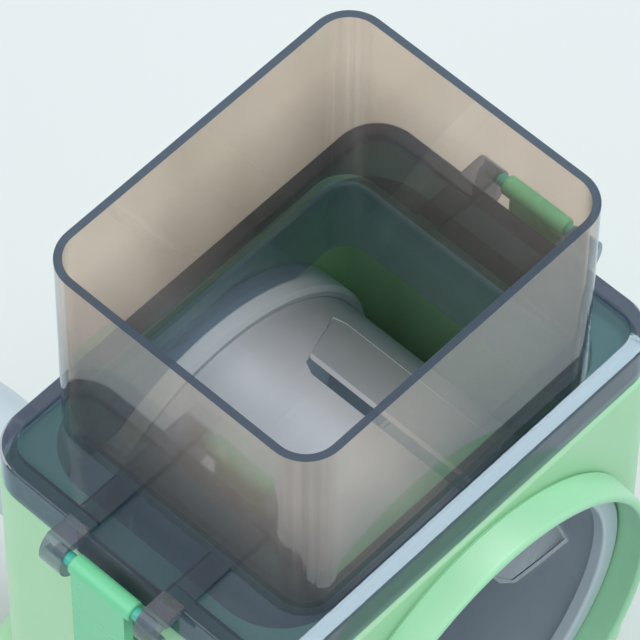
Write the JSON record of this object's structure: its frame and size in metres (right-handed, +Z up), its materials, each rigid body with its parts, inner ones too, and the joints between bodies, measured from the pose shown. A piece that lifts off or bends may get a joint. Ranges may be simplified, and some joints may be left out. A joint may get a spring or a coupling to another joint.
{
  "type": "rotary vegetable slicer",
  "caption": "Hand cranked drum slicer: clear hopper lid held by side latches on a green box housing, round front outlet, and a suction base with a lock lever.",
  "frame": {"origin": "on the table at the middle of the round suction base's underside", "axes": "+Z up; the drum opens towards -Y, the crank is at +Y and the latches are at -X and +X"},
  "size_m": [0.155, 0.1941, 0.231],
  "materials": {
    "green_plastic": "smooth moulded mint green plastic, satin gloss",
    "smoky_plastic": "clear smoky moulded plastic, high gloss",
    "grey_plastic": "smooth grey moulded plastic",
    "drum_steel": "rolled stainless sheet, fine brushing round the drum",
    "shaft_steel": "turned stainless steel",
    "white_nylon": "natural nylon, matt",
    "grey_rubber": "soft matt rubber"
  },
  "bodies": {
    "root": {"main_housing": "green_plastic", "front_collar": "green_plastic", "rear_bush": "white_nylon", "base_stand": "green_plastic", "stand_screws": "shaft_steel", "foot_ring": "grey_rubber", "base_plate": "grey_plastic", "plate_screws": "shaft_steel", "suction_cup": "grey_rubber", "lever_bridge": "shaft_steel", "bridge_screws": "shaft_steel"},
    "crank": {"drive_shaft": "shaft_steel", "retaining_clip": "shaft_steel", "thrust_washer": "shaft_steel", "crank_arm": "green_plastic", "crank_screw": "shaft_steel", "crank_cap": "grey_plastic", "knob_spindle": "shaft_steel"},
    "knob": {"knob_grip": "grey_plastic", "knob_end_cap": "green_plastic"},
    "drum": {"drum_front_ring": "grey_plastic", "drum_sheet": "drum_steel", "drum_back_plate": "grey_plastic"},
    "lid": {"hopper_lid": "smoky_plastic"},
    "latch_right": {"right_latch": "green_plastic"},
    "latch_left": {"left_latch": "green_plastic"},
    "lever": {"lock_lever": "grey_plastic"},
    "stem": {"pull_stem": "shaft_steel", "cross_pin": "shaft_steel"}
  },
  "joints": [
    {"name": "crank_spin", "type": "hinge", "parent": "root", "child": "crank", "pos_m": [0, 0.04, 0.1135], "axis": [0, 1, 0], "continuous": true},
    {"name": "knob_spin", "type": "hinge", "parent": "crank", "child": "knob", "pos_m": [0, 0.085, 0.0415], "axis": [0, 1, 0], "continuous": true},
    {"name": "drum_slide", "type": "slide", "parent": "crank", "child": "drum", "axis": [0, -1, 0], "range_m": [0, 0.1]},
    {"name": "lid_lift", "type": "slide", "parent": "root", "child": "lid", "axis": [0, 0, 1], "range_m": [0, 0.075]},
    {"name": "latch_right_hinge", "type": "hinge", "parent": "lid", "child": "latch_right", "pos_m": [0.0648, -0.008, 0.1728], "axis": [0, -1, 0], "range_deg": [0, 110]},
    {"name": "latch_left_hinge", "type": "hinge", "parent": "lid", "child": "latch_left", "pos_m": [-0.0648, -0.008, 0.1728], "axis": [0, 1, 0], "range_deg": [0, 110]},
    {"name": "lever_swing", "type": "hinge", "parent": "root", "child": "lever", "pos_m": [0, 0, 0.0095], "axis": [0, 0, 1], "range_deg": [0, 80]},
    {"name": "stem_lift", "type": "slide", "parent": "root", "child": "stem", "axis": [0, 0, 1], "range_m": [0, 0.0035], "deforming": ["suction_cup"]}
  ],
  "couplings": [
    {"joint": "stem_lift", "follows": "lever_swing", "m_per_rad": 0.0025066}
  ]
}
